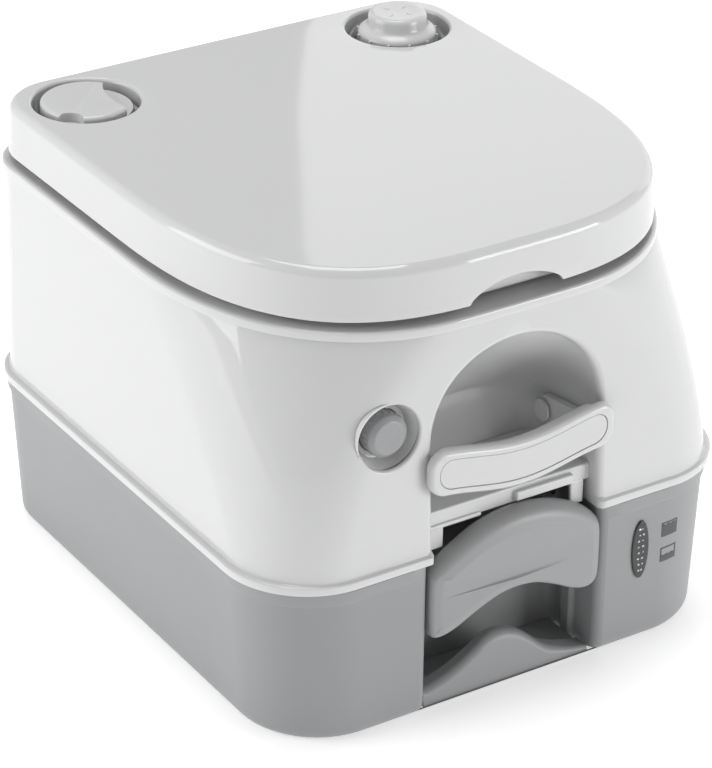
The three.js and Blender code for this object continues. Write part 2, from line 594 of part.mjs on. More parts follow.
const parts = [
  ['holding_tank', holdingTank(), 'grey'],
  ['foot_tab', footTab(), 'grey'],
  ['valve_frame', valveFrame(), 'dark'],
  ['blade_seal', tube('z', OUTLET.radius - GAP, 42, 93.9, 96.3, 0, OUTLET.y), 'rubber'],
  ['valve_blade', block(-BLADE.half, BLADE.half, BLADE.front, BLADE.rear, BLADE.bottom, BLADE.top), 'pale'],
  ['valve_handle', valveHandle(), 'grey'],
  ['level_lens', levelLens(), 'dark'],
  ['level_prisms', levelPrisms(), 'pale'],
  ['pictogram_full', pictogram(75, 1), 'dark'],
  ['pictogram_half', pictogram(57, 0.5), 'dark'],
  ['spout_collar', spoutCollar(), 'dark'],
  ['pour_spout', pourSpout(), 'grey'],
  ['spout_cap', spoutCap(), 'dark'],
  ['spout_cap_seal', spoutCapSeal(), 'rubber'],
  ['vent_button', ventButton(), 'dark'],
  ['vent_valve', ventValve(), 'dark'],
  ['vent_spring', ventSpring(), 'steel'],
  ['rear_latch', rearLatch(), 'grey'],
  ['latch_bracket', latchBracket(), 'white'],
  ['latch_pin', latchBar(LATCH.pin, 23.5), 'steel'],
  ['upper_casing', upperCasing(), 'white'],
  ['front_apron', frontApron(), 'white'],
  ['base_plate', basePlate(), 'white'],
  ['bowl', bowl(), 'white'],
  ['outlet_seal', outletSeal(), 'rubber'],
  ['button_bezel', buttonBezel(), 'white'],
  ['flush_button', flushButton(), 'grey'],
  ['flush_valve', flushValve(), 'dark'],
  ['flush_spring', flushSpring(), 'steel'],
  ['flush_hose', flushHose(), 'pale'],
  ['rim_nozzle', rimNozzle(), 'white'],
  ['pump_cylinder', pumpCylinder(), 'white'],
  ['pump_piston', pumpPiston(), 'dark'],
  ['piston_seal', pistonSeal(), 'rubber'],
  ['pump_rod', pumpRod(), 'steel'],
  ['pump_knob', pumpKnob(), 'white'],
  ['fill_neck', fillNeck(), 'white'],
  ['fill_cap_seal', fillCapSeal(), 'rubber'],
  ['fill_cap', fillCap(), 'white'],
  ['seat', seat(), 'white'],
  ['lid', lid(), 'white'],
  ['carry_handle', carryHandle(), 'white'],
  ['handle_insert', handleInsert(), 'white'],
];
for (const [side, word] of [[-1, 'left'], [1, 'right']]) {
  parts.push([`hinge_bracket_${word}`, hingeBracket(side), 'white']);
  parts.push([`hinge_pin_${word}`, hingePin(side), 'steel']);
  parts.push([`handle_pin_${word}`, handlePin(side), 'grey']);
}
SEAT_PADS.forEach(([x, y], i) => parts.push([`seat_bumper_${i + 1}`, bumper(x, y, DECK_TOP + GAP, 261.7), 'rubber']));
LID_PADS.forEach(([x, y], i) => parts.push([`lid_bumper_${i + 1}`, bumper(x, y, 275.3, 293.7), 'rubber']));

const toilet = new THREE.Group();
for (const [name, body, look] of parts) toilet.add(mesh(name, body, look));
export default toilet;
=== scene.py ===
"""Portable cassette toilet: smooth shells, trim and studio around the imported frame.

Shapes are worked out in millimetres, +X right, -Y front, +Z up, and stored in metres.
"""
import math
import bpy
import bmesh
from mathutils import Matrix, Vector
from mathutils.geometry import tessellate_polygon


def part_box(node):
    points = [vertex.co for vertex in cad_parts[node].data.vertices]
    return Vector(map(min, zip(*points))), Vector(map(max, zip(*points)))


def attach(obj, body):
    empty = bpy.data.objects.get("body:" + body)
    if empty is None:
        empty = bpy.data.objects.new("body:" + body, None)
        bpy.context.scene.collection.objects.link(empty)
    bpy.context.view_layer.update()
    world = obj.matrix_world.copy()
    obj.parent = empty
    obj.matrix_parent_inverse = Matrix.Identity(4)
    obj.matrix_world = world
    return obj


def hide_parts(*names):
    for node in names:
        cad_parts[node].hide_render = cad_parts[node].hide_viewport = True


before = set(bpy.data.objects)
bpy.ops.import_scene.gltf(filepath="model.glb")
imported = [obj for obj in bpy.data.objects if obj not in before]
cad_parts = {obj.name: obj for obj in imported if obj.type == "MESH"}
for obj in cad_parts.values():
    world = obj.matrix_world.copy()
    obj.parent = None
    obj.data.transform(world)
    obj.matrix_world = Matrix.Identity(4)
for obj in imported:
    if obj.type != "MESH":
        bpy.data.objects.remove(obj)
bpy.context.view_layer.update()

MM = 0.001
CORNER = 32      # segments in a plan corner
STRAIGHT = 10    # segments in a straight stretch
ROUND = 96       # sides of a turned piece
AXIS = 0.05      # smallest radius of a turned profile, where it meets its axis

# ---- driving dimensions, mm ----
TANK_TOP = 105.7
UNIT_BOTTOM = 106.3
FLANGE_TOP = 112
CASING_TOP = 254.9
DECK_TOP = 259.2
LID_BOTTOM = 264.5
WALL = 3
RECESS_HALF = 62.5
TANK_RECESS_BACK = -136
UNIT_RECESS_BACK = -115
PUMP = (115, 131)
FILL = (-116, 131)
BUTTON = (-89, 196)
HINGE = (169, 270)
PIN_BORE = 2.3
HINGE_EYE = 3.8
HANDLE_PIVOT = (-134, 154)
PIVOT_BORE = 5.1
LENS = (93, 67)
SPOUT = (55, 150, 74)
VENT = (-72, 72)
LATCH = (185.6, 138)
LEAN = 7.4 / (CASING_TOP - FLANGE_TOP)


# ---- mesh tools ----
def build(name, points, faces):
    mesh = bpy.data.meshes.new(name)
    mesh.from_pydata([Vector(p) * MM for p in points], [], faces)
    work = bmesh.new()
    work.from_mesh(mesh)
    bmesh.ops.remove_doubles(work, verts=work.verts, dist=1e-7)
    bmesh.ops.recalc_face_normals(work, faces=work.faces)
    work.to_mesh(mesh)
    work.free()
    obj = bpy.data.objects.new(name, mesh)
    bpy.context.collection.objects.link(obj)
    return obj


def loft(name, loops, ring=False, cap_shapes=None):
    """A closed skin through loops with equal point counts; a ring joins the last to the first.
    cap_shapes are the flat outlines of the first and last loop, for ends that are not convex."""
    count = len(loops[0])
    points = [p for loop in loops for p in loop]
    faces = []
    spans = len(loops) if ring else len(loops) - 1
    for level in range(spans):
        above = (level + 1) % len(loops)
        for i in range(count):
            j = (i + 1) % count
            faces.append((level * count + i, level * count + j, above * count + j, above * count + i))
    if cap_shapes:
        for shape, start in zip(cap_shapes, (0, (len(loops) - 1) * count)):
            flat = [Vector((u, v, 0)) for u, v in shape]
            faces += [tuple(start + k for k in triangle) for triangle in tessellate_polygon([flat])]
    elif not ring:
        faces.append(tuple(reversed(range(count))))
        faces.append(tuple(range((len(loops) - 1) * count, len(loops) * count)))
    return build(name, points, faces)


def combine(obj, tool, operation):
    modifier = obj.modifiers.new("combine", "BOOLEAN")
    modifier.operation = operation
    modifier.solver = "EXACT"
    modifier.object = tool
    graph = bpy.context.evaluated_depsgraph_get()
    mesh = bpy.data.meshes.new_from_object(obj.evaluated_get(graph))
    obj.modifiers.clear()
    obj.data = mesh
    bpy.data.objects.remove(tool, do_unlink=True)
    return obj


def cut(obj, *tools):
    for tool in tools:
        combine(obj, tool, "DIFFERENCE")
    return obj


def join(obj, *tools):
    for tool in tools:
        combine(obj, tool, "UNION")
    return obj


def gather(name, objects):
    """Several closed solids in one piece."""
    work = bmesh.new()
    for obj in objects:
        work.from_mesh(obj.data)
        bpy.data.objects.remove(obj, do_unlink=True)
    mesh = bpy.data.meshes.new(name)
    work.to_mesh(mesh)
    work.free()
    obj = bpy.data.objects.new(name, mesh)
    bpy.context.collection.objects.link(obj)
    return obj


def plan(z, shape, grow=0.0):
    """Outline seen from above: superelliptic front corners (power 2 is an ellipse), round rear ones."""
    half, front, rear, rx, ry, rr, power = shape
    corners = [
        (half - rx, front + ry, rx, ry, -90, power), (half - rr, rear - rr, rr, rr, 0, 2),
        (rr - half, rear - rr, rr, rr, 90, 2), (rx - half, front + ry, rx, ry, 180, power),
    ]
    arcs = []
    for cx, cy, ex, ey, start, n in corners:
        turns = [math.radians(start + 90 * i / CORNER) for i in range(CORNER + 1)]
        wide, deep = ex + grow, ey + grow
        arcs.append([(cx + wide * square(math.cos(t), n), cy + deep * square(math.sin(t), n), z)
                     for t in turns])
    points = []
    for arc, following in zip(arcs, arcs[1:] + arcs[:1]):
        points += arc
        a, b = Vector(arc[-1]), Vector(following[0])
        points += [tuple(a.lerp(b, i / STRAIGHT)) for i in range(1, STRAIGHT)]
    return points


def square(value, power):
    """One coordinate of a superellipse, from the cosine or sine of the turn."""
    return math.copysign(abs(value) ** (2 / power), value)


def blend_shape(low, high, t):
    """A plan shape part of the way from low to high."""
    return tuple(a + (b - a) * t for a, b in zip(low, high))


def shrink(loop, share, z):
    """The loop drawn in towards the vertical axis, at height z."""
    return [(x * share, y * share, z) for x, y, _ in loop]


def ellipse_facing(loop, z, cy, ax, ay):
    """An ellipse whose points face the same way as the points of loop."""
    points = []
    for x, y, _ in loop:
        turn = math.atan2((y - cy) / ay, x / ax)
        points.append((ax * math.cos(turn), cy + ay * math.sin(turn), z))
    return points


def full_circle(count):
    return [2 * math.pi * i / count for i in range(count)]


def turned(name, profile, x, y, axis="z", sides=ROUND, tilt=0.0, ring=False):
    """A profile of (radius, height) pairs turned about an axis; (x, y) is its place on the other two."""
    loops = []
    for radius, height in profile:
        loop = []
        for t in full_circle(sides):
            u, v = radius * math.cos(t), radius * math.sin(t)
            if axis == "z":
                loop.append((x + u, y + v, height))
            elif axis == "y":
                loop.append((x + u, height - v * math.tan(tilt), y + v))
            else:
                loop.append((height, x + u, y + v))
        loops.append(loop)
    return loft(name, loops, ring)


def around(make, count, place, axis, start=0.0):
    """Copies of a small solid, made at the origin, set round an axis through place."""
    copies = []
    for t in full_circle(count):
        copy = make()
        shift = Matrix.Translation([v * MM for v in place])
        copy.data.transform(shift @ Matrix.Rotation(t + start, 4, axis.upper()))
        copies.append(copy)
    return copies


def arc(radius, start, end, steps, centre):
    """Points on an arc between two turns in degrees."""
    turns = [math.radians(start + (end - start) * i / steps) for i in range(steps + 1)]
    return [(centre[0] + radius * math.cos(t), centre[1] + radius * math.sin(t)) for t in turns]


def spline(points, steps=10, closed=True):
    """Catmull-Rom curve through a few points."""
    count = len(points)
    result = []
    for i in range(count if closed else count - 1):
        picks = [(i + k) % count if closed else min(max(i + k, 0), count - 1) for k in (-1, 0, 1, 2)]
        a, b, c, d = (Vector(points[pick]) for pick in picks)
        for s in range(steps):
            t = s / steps
            bend, twist = 2 * a - 5 * b + 4 * c - d, 3 * b - a - 3 * c + d
            curve = 2 * b + (c - a) * t + bend * t * t + twist * t ** 3
            result.append(tuple(curve / 2))
    return result if closed else result + [tuple(points[-1])]


def filleted(corners, steps=8):
    """Polygon of (u, v, radius) corners with each corner rounded."""
    result = []
    count = len(corners)
    for i, (u, v, radius) in enumerate(corners):
        here = Vector((u, v))
        before = (Vector(corners[i - 1][:2]) - here).normalized()
        after = (Vector(corners[(i + 1) % count][:2]) - here).normalized()
        half = before.angle(after) / 2
        reach = radius / math.tan(half)
        start, end = here + before * reach, here + after * reach
        middle = here + (before + after).normalized() * (radius / math.sin(half))
        first, last = start - middle, end - middle
        swing = first.angle_signed(last)
        for k in range(steps + 1):
            turn = Matrix.Rotation(-swing * k / steps, 2)
            result.append(tuple(middle + turn @ first))
    return result


def inset(outline, amounts):
    """Moves each point of an anticlockwise outline inwards by its amount."""
    count = len(outline)
    result = []
    for i in range(count):
        a, b, c = (Vector(outline[(i + k) % count][:2]) for k in (-1, 0, 1))
        along = (c - b).normalized() + (b - a).normalized()
        inward = Vector((-along.y, along.x)).normalized()
        result.append(tuple(b + inward * amounts[i]))
    return result


def outward_rise(outline):
    """Height component of the outward direction at each point of an anticlockwise outline."""
    count = len(outline)
    rises = []
    for i in range(count):
        a, c = Vector(outline[i - 1][:2]), Vector(outline[(i + 1) % count][:2])
        along = (c - a).normalized()
        rises.append(-along.x)
    return rises


def pillow(name, outline, front, back, radii, back_radius=1.0, crown=0.0, steps=7):
    """An (x, z) outline thickened along y, its front edge rounded by radii and its face crowned.
    front and back are functions of (x, z)."""
    crown_run = 6    # how far in the crown reaches, for each unit of its height

    def loop(shape, place):
        return [(x, place(x, z, i), z) for i, (x, z) in enumerate(shape)]

    loops = []
    for k in range(4):
        t = math.radians(90 * k / 3)
        shape = inset(outline, [back_radius * (1 - math.sin(t))] * len(outline))
        depth = back_radius * (1 - math.cos(t))
        loops.append(loop(shape, lambda x, z, i, d=depth: back(x, z) - d))
    for k in range(steps + 1):
        t = math.radians(90 * k / steps)
        shape = inset(outline, [r * (1 - math.cos(t)) for r in radii])
        depths = [r * (1 - math.sin(t)) for r in radii]
        loops.append(loop(shape, lambda x, z, i, d=depths: front(x, z) + d[i]))
    if crown:
        for k in range(1, 5):
            share = k / 4
            shape = inset(outline, [r + crown * crown_run * share for r in radii])
            rise = crown * math.sin(math.radians(90 * share))
            loops.append(loop(shape, lambda x, z, i, d=rise: front(x, z) - d))
    return loft(name, loops, cap_shapes=[inset(outline, [back_radius] * len(outline)), shape])


def soft_box(name, low, high, radius=0.8, segments=3):
    """A block with rounded edges."""
    work = bmesh.new()
    bmesh.ops.create_cube(work, size=1)
    size = [(b - a) * MM for a, b in zip(low, high)]
    middle = [(a + b) / 2 * MM for a, b in zip(low, high)]
    bmesh.ops.scale(work, vec=size, verts=work.verts)
    bmesh.ops.translate(work, vec=middle, verts=work.verts)
    bmesh.ops.bevel(work, geom=work.edges[:], offset=radius * MM, segments=segments, profile=0.5,
                    affect="EDGES", clamp_overlap=True)
    mesh = bpy.data.meshes.new(name)
    work.to_mesh(mesh)
    work.free()
    obj = bpy.data.objects.new(name, mesh)
    bpy.context.collection.objects.link(obj)
    return obj


def finish_piece(obj, body, material, nodes=(), angle=32):
    """Smooth shading, material, body, and the frame solids that the piece stands for."""
    obj.data.materials.clear()
    obj.data.materials.append(material)
    for face in obj.data.polygons:
        face.use_smooth = True
    obj.data.set_sharp_from_angle(angle=math.radians(angle))
    weighted = obj.modifiers.new("weighted normals", "WEIGHTED_NORMAL")
    weighted.keep_sharp = True
    weighted.weight = 60
    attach(obj, body)
    if nodes:
        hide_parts(*nodes)
    return obj


# ---- materials ----
def plastic(name, colour, roughness, coat=0.0, mottle=0.02, grain=900.0, grain_depth=0.02, edge_highlight=0.05,
            scatter=0.0):
    """Moulded plastic: faint flow marks in the colour, fine surface grain, and sharp convex edges lightened
    as a painted highlight. grain is the grain's scale and grain_depth its height in mm."""
    scatter_reach = 0.004
    material = bpy.data.materials.new(name)
    material.use_nodes = True
    nodes, links = material.node_tree.nodes, material.node_tree.links
    shader = nodes["Principled BSDF"]
    shader.inputs["IOR"].default_value = 1.5
    shader.inputs["Coat Weight"].default_value = coat
    shader.inputs["Coat Roughness"].default_value = 0.06
    if scatter:
        shader.inputs["Subsurface Weight"].default_value = scatter
        shader.inputs["Subsurface Radius"].default_value = (scatter_reach,) * 3
        shader.inputs["Subsurface Scale"].default_value = 1.0
    place = nodes.new("ShaderNodeTexCoord")
    flow = nodes.new("ShaderNodeTexNoise")
    flow.inputs["Scale"].default_value = 9.0
    flow.inputs["Detail"].default_value = 4.0
    flow.inputs["Distortion"].default_value = 0.8
    links.new(place.outputs["Object"], flow.inputs["Vector"])
    tint = nodes.new("ShaderNodeMix")
    tint.data_type = "RGBA"
    tint.inputs["A"].default_value = tuple(c * (1 - mottle) for c in colour) + (1,)
    tint.inputs["B"].default_value = tuple(min(1, c * (1 + mottle)) for c in colour) + (1,)
    links.new(flow.outputs["Fac"], tint.inputs["Factor"])
    # Painted highlight: the base colour is lightened on sharp convex edges, found from pointiness.
    geometry = nodes.new("ShaderNodeNewGeometry")
    edge = nodes.new("ShaderNodeMapRange")
    edge.inputs["From Min"].default_value = 0.505
    edge.inputs["From Max"].default_value = 0.56
    edge.inputs["To Max"].default_value = edge_highlight
    links.new(geometry.outputs["Pointiness"], edge.inputs["Value"])
    edge_highlight_mix = nodes.new("ShaderNodeMix")
    edge_highlight_mix.data_type = "RGBA"
    edge_highlight_mix.inputs["B"].default_value = tuple(min(1, c * 1.25 + 0.04) for c in colour) + (1,)
    links.new(edge.outputs["Result"], edge_highlight_mix.inputs["Factor"])
    links.new(tint.outputs["Result"], edge_highlight_mix.inputs["A"])
    links.new(edge_highlight_mix.outputs["Result"], shader.inputs["Base Color"])
    patch = nodes.new("ShaderNodeTexNoise")
    patch.inputs["Scale"].default_value = 26.0
    patch.inputs["Detail"].default_value = 3.0
    links.new(place.outputs["Object"], patch.inputs["Vector"])
    gloss = nodes.new("ShaderNodeMapRange")
    gloss.inputs["To Min"].default_value = roughness * 0.88
    gloss.inputs["To Max"].default_value = roughness * 1.14
    links.new(patch.outputs["Fac"], gloss.inputs["Value"])
    links.new(gloss.outputs["Result"], shader.inputs["Roughness"])
    grit = nodes.new("ShaderNodeTexNoise")
    grit.inputs["Scale"].default_value = grain
    grit.inputs["Detail"].default_value = 2.0
    links.new(place.outputs["Object"], grit.inputs["Vector"])
    bump = nodes.new("ShaderNodeBump")
    bump.inputs["Strength"].default_value = 1.0
    bump.inputs["Distance"].default_value = grain_depth * MM
    links.new(grit.outputs["Fac"], bump.inputs["Height"])
    links.new(bump.outputs["Normal"], shader.inputs["Normal"])
    return material


def steel(name):
    material = plastic(name, (0.62, 0.63, 0.64), 0.28, grain=1500, grain_depth=0.01)
    material.node_tree.nodes["Principled BSDF"].inputs["Metallic"].default_value = 1.0
    return material


# Each finish lightens its sharp convex edges by a set amount, as a painted highlight.
WHITE = plastic("white gloss plastic", (0.62, 0.622, 0.625), 0.055, mottle=0.006, grain=240,
                grain_depth=0.005, edge_highlight=0.1, scatter=0.06)
WHITE_TRIM = plastic("white trim plastic", (0.60, 0.602, 0.605), 0.22, mottle=0.01, grain=500,
                     grain_depth=0.012, edge_highlight=0.1, scatter=0.05)
TANK_GREY = plastic("grey tank plastic", (0.285, 0.289, 0.294), 0.42, mottle=0.03, grain=1400,
                    grain_depth=0.03, edge_highlight=0.12)
TRIM_GREY = plastic("grey trim plastic", (0.3, 0.303, 0.308), 0.38, grain=1300, edge_highlight=0.14)
DARK = plastic("dark gloss plastic", (0.028, 0.028, 0.03), 0.2, coat=0.3, mottle=0.1, grain_depth=0.01)
PRINT = plastic("dark print", (0.075, 0.077, 0.08), 0.5, mottle=0.06, grain=2200, grain_depth=0.01)
WORKS = plastic("dark works plastic", (0.07, 0.072, 0.075), 0.5, mottle=0.08, grain=1200, grain_depth=0.03)
PALE = plastic("pale works plastic", (0.66, 0.68, 0.7), 0.3, mottle=0.03, grain_depth=0.01)
RUBBER = plastic("seal rubber", (0.03, 0.03, 0.031), 0.7, mottle=0.15, grain=1800, grain_depth=0.04,
                 edge_highlight=0.0)
PRISM = plastic("clear prism plastic", (0.62, 0.64, 0.66), 0.08, coat=0.8, mottle=0.05, grain=1200)
STEEL = steel("drawn steel")

# ---- shells ----
# plan shapes: half width, front, rear, front corner across and along, rear corner, front corner power
FLANGE = (171.45, -186, 186, 57, 57, 47, 2)
RIM = (166.6, -177, 180.5, 131, 159, 40, 2.2)
LID_LOW = (163, -174.6, 176.5, 150, 190, 38, 2.75)
LID_HIGH = (161, -173.6, 175.5, 148, 188, 36, 2.75)
MOUTH = (59.5, 178, 58)    # hand recess at the front: half width, shoulder height, roof rise
MOUTH_TILT = math.radians(12)    # a flared mouth starts a little inside its tangent


def casing_shape(z):
    """The casing narrows upwards and its front corners grow."""
    rise = max(0.0, (z - FLANGE_TOP) / (CASING_TOP - FLANGE_TOP))
    return (167 - 1.8 * rise, -183 + 7.4 * rise, 183 - 4 * rise,
            50 + 80 * rise ** 2, 57 + 101 * rise ** 1.3, 43 - 2 * rise, 2 + 0.2 * rise ** 2)


def face_y(z):
    """The casing's flat front face."""
    return -183 + LEAN * (z - FLANGE_TOP)


def front_y(z):
    """The casing's front, flange included."""
    if z >= FLANGE_TOP + 1:
        return face_y(z)
    setback = face_y(FLANGE_TOP) - FLANGE[1]
    fade = min(1, max(0, (z - FLANGE_TOP + 1) / 2))
    return min(face_y(z), FLANGE[1] + setback * fade)


def tank_shape(z):
    """The tank widens upwards as far as the band at its top."""
    rise = min(1.0, max(0.0, z / 97))
    return (161.4 + 6 * rise, -183 - 0.2 * rise, 183 + 0.2 * rise, 55 + rise, 55 + rise, 42 + rise, 2)


def arch(y_of, half, shoulder, rise, grow):
    """Hand recess outline at one depth: upright sides and a round roof."""
    width = half + grow
    upright = 117    # the sides are sampled closely up to here, where the flange is
    left = [(-width, z) for z in (84, 104, 106, 108, 110, 111, 112, 113, 114, upright)]
    left += [(-width, upright + (shoulder - upright) * share) for share in (0.15, 0.35, 0.6, 0.8, 0.93)]
    roof = []
    steps = 40
    for i in range(steps + 1):
        turn = math.pi * (1 - i / steps)
        lift = (rise + grow) * max(0.0, math.sin(turn)) ** 0.9
        roof.append((width * math.cos(turn), shoulder + lift))
    right = [(-x, z) for x, z in reversed(left)]
    return [(x, y_of(z), z) for x, z in left + roof + right]


def mouth_turns(steps=6):
    """Turns of a mouth's rounding, from its start to square with the face."""
    return [MOUTH_TILT + (math.pi / 2 - MOUTH_TILT) * k / steps for k in range(steps + 1)]


def recess_tool(name, grow=0.0, flare=5.0):
    """The hand recess as a cutter, its mouth flared so that the edge comes out rounded."""
    start = -172.0
    back = UNIT_RECESS_BACK + grow
    back_round = 15
    lean = 0.05    # of the back wall

    def narrowed(share, pull=0.0):
        half, shoulder, rise = MOUTH
        return half - 2 * share - pull * 0.95, shoulder - 26 * share, rise - 36 * share - pull * 0.25

    loops = []
    if flare:
        run = flare * (1 - math.sin(MOUTH_TILT))
        loops.append(arch(lambda z: front_y(z) - 1.0, *MOUTH, run + 4.9))
        for t in mouth_turns():
            depth = flare * (1 - math.cos(t))
            loops.append(arch(lambda z, d=depth: front_y(z) + d, *MOUTH, flare * (1 - math.sin(t))))
    else:
        loops.append(arch(lambda z: -200, *MOUTH, grow))
        loops.append(arch(lambda z: face_y(z) + 5, *MOUTH, grow))
    for k in range(1, 8):
        t = k / 8
        y = start + (back - back_round - start) * t
        share = (y - start) / (back - start)
        loops.append(arch(lambda z, y=y, t=t: y + lean * (z - 150) * t, *narrowed(share), grow))
    for k in range(8):
        t = math.radians(90 * k / 7)
        y = back - back_round * (1 - math.sin(t))
        share = (back - back_round + back_round * math.sin(t) - start) / (back - start)
        pull = back_round * (1 - math.cos(t))
        loops.append(arch(lambda z, y=y: y + lean * (z - 150), *narrowed(share, pull), grow))
    return loft(name, loops)


def upper_casing():
    levels = [
        (UNIT_BOTTOM, -2.2), (UNIT_BOTTOM, -0.8), (UNIT_BOTTOM + 0.3, -0.2), (UNIT_BOTTOM + 0.9, 0),
        (FLANGE_TOP - 1.6, 0), (FLANGE_TOP - 0.8, -0.25), (FLANGE_TOP - 0.25, -0.9), (FLANGE_TOP, -2.0),
    ]
    loops = [plan(z, FLANGE, grow) for z, grow in levels]
    for z, grow in [(FLANGE_TOP + 0.15, 0.9), (FLANGE_TOP + 0.6, 0.35), (FLANGE_TOP + 1.6, 0.0)]:
        loops.append(plan(z, casing_shape(z), grow))
    edge = 1.2
    side_bottom = FLANGE_TOP + 2
    steps = 26
    for i in range(1, steps):
        z = side_bottom + (CASING_TOP - edge - side_bottom) * i / steps
        loops.append(plan(z, casing_shape(z)))
    for k in range(4):
        t = math.radians(90 * k / 3)
        z = CASING_TOP - edge * (1 - math.sin(t))
        loops.append(plan(z, casing_shape(CASING_TOP), -edge * (1 - math.cos(t))))
    casing = loft("upper_casing_skin", loops)
    inner_levels = (100, FLANGE_TOP, 150, 190, 225, 262)
    inner = loft("inner", [plan(z, casing_shape(max(z, FLANGE_TOP)), -WALL) for z in inner_levels])
    cut(inner, recess_tool("liner", grow=WALL, flare=0))
    cut(casing, recess_tool("recess"), inner, button_hole())
    cut(casing, turned("pivots", [(PIVOT_BORE, -80), (PIVOT_BORE, 80)], *HANDLE_PIVOT, axis="x", sides=32))
    return finish_piece(casing, "base", WHITE, ["upper_casing"], angle=28)


def button_hole():
    """Cutter for the flush button's bezel, with a rounded mouth that leans with the casing's face."""
    rim = face_y(BUTTON[1])
    hole = 20.6
    lip = 1.6
    profile = [(25.4, rim - 1.0)]
    for degrees in (14, 30, 50, 70, 90):
        t = math.radians(degrees)
        profile.append((hole + lip * (1 - math.sin(t)), rim + lip * (1 - math.cos(t))))
    profile += [(hole, rim + 2.4), (21.9, rim + 2.4), (21.9, rim + 30)]
    return turned("well", profile, *BUTTON, axis="y", tilt=-math.atan(LEAN))


def tank_recess_tool():
    """Upright cutter with rounded mouth edges and a stepped side wall."""
    flare = 6.5
    foot = 8
    corner = 7
    ledge = [(0, -160), (0.6, -159), (3, -158.2), (3.4, -157.6), (3.4, -150), (2.9, -149.2), (1.2, -148.4),
             (0.8, -147.6)]
    inner = RECESS_HALF - ledge[-1][0]
    loops = []
    for z in (-6, -0.01, 2, 4, 7, 12, 30, 60, 90, 97, 100, 120):
        front = tank_shape(z)[1]
        if z < foot:
            front += foot - math.sqrt(max(0.0, foot ** 2 - (foot - max(z, 0)) ** 2))
        lead = 1.0 if z < 95 else 3.0
        side = [(RECESS_HALF + flare * (1 - math.sin(MOUTH_TILT)) + 4.7 * lead, front - lead)]
        for t in mouth_turns():
            side.append((RECESS_HALF + flare * (1 - math.sin(t)), front + flare * (1 - math.cos(t))))
        side += [(RECESS_HALF - step, y) for step, y in ledge]
        for k in range(7):
            t = math.radians(90 * k / 6)
            side.append((inner - corner * (1 - math.cos(t)), TANK_RECESS_BACK - corner * (1 - math.sin(t))))
        left = [(-x, y) for x, y in reversed(side)]
        loops.append([(x, y, z) for x, y in side + left])
    return loft("tank recess", loops)


def holding_tank():
    loops = []
    foot = 8
    for k in range(9):
        t = math.radians(90 * k / 8)
        z = foot * (1 - math.cos(t))
        loops.append(plan(z, tank_shape(z), -foot * (1 - math.sin(t))))
    band = 96    # a raised band runs round the top
    for i in range(1, 12):
        z = foot + (band - foot) * i / 12
        loops.append(plan(z, tank_shape(z)))
    for z, grow in [(band, 0), (96.6, 0.15), (97.1, 0.6), (97.5, 1.2), (98.1, 1.5), (104.6, 1.75),
                    (105.3, 1.5), (TANK_TOP, 0.8)]:
        loops.append(plan(z, tank_shape(z), grow))
    tank = loft("holding_tank_skin", loops)
    hollow_levels = ((3, -5), (9, 0), (60, 0), (102.5, 0))
    hollow = loft("hollow", [plan(z, tank_shape(z), grow - WALL) for z, grow in hollow_levels])
    cut(hollow, soft_box("liner", (-66, -210, -10), (66, -133, 130), 4),
        soft_box("channel liner", (-63, -160, 90.5), (63, 65.5, 130), 1),
        soft_box("bay liner", (25, 115, 41), (220, 220, 130), 4))
    bay = soft_box("bay", (28, 118, 44), (230, 230, 140), 5, segments=6)
    cut(tank, tank_recess_tool(), hollow, soft_box("channel", (-60, -160, 93.5), (60, 62.5, 130), 1), bay)
    cut(tank, turned("valve", [(45, 80), (45, 100)], 0, 5),
        turned("spout", [(15, 30), (15, 50)], SPOUT[0], SPOUT[1]),
        turned("vent", [(8, 165), (8, 183.0), (8.8, 183.5), (10.5, 185)], *VENT, axis="y", sides=48))
    return finish_piece(tank, "base", TANK_GREY, ["holding_tank"], angle=28)


def lid():
    """A hollow cover with a crowned top, two wells' mouths, hinge eyes and a finger notch in front."""
    high = 291    # where the edge rounding starts
    top = 298

    def outline(z, grow=0.0):
        return plan(z, blend_shape(LID_LOW, LID_HIGH, (z - LID_BOTTOM) / (high - LID_BOTTOM)), grow)

    loops = []
    for share, z in [(0.15, 294.6), (0.5, 294.5), (0.85, 294.2)]:
        loops.append(shrink(plan(z, LID_HIGH, -12), share, z))
    for z, grow in [(294, -12), (293.4, -8.5), (291.8, -6), (289, -3.6), (285, -3)]:
        loops.append(plan(z, LID_HIGH, grow))
    for z, grow in [(275, -3), (265.2, -3), (LID_BOTTOM + 0.2, -2.7), (LID_BOTTOM, -2.3),
                    (LID_BOTTOM, -0.8), (LID_BOTTOM + 0.25, -0.25), (LID_BOTTOM + 0.9, 0.0), (268, 0),
                    (273, 0), (279, 0), (285, 0)]:
        loops.append(outline(z, grow))
    edge = 6.0
    for k in range(11):
        t = math.radians(82 * k / 10)
        loops.append(plan(high + edge * math.sin(t), LID_HIGH, -edge * (1 - math.cos(t))))
    last = loops[-1]
    rise = top - last[0][2]
    for k in range(1, 10):
        share = 1 - k / 10
        loops.append(shrink(last, share, top - rise * share ** 2.6))
    cover = loft("lid_skin", loops)
    for place in (PUMP, FILL):
        join(cover, turned("skirt", [(36.6, 281.6), (36.6, 295.5)], *place))
        cut(cover, well_mouth(*place))
    for side in (-1, 1):
        a, b = sorted((37 * side, 46 * side))
        join(cover, soft_box("lug", (a, 168, 267), (b, 174.5, 271), 0.5),
             turned("eye", [(HINGE_EYE, a), (HINGE_EYE, b)], *HINGE, axis="x", sides=40))
    cut(cover, turned("pin", [(PIN_BORE, -100), (PIN_BORE, 100)], *HINGE, axis="x", sides=32))
    notch = spline([(-31, 256), (31, 256), (33, 263), (29, 269), (15, 275), (0, 277), (-15, 275),
                    (-29, 269), (-33, 263)], steps=6)
    cut(cover, loft("notch", [[(x, y, z) for x, z in notch] for y in (-190, -165)]))
    return finish_piece(cover, "lid", WHITE, ["lid"], angle=28)


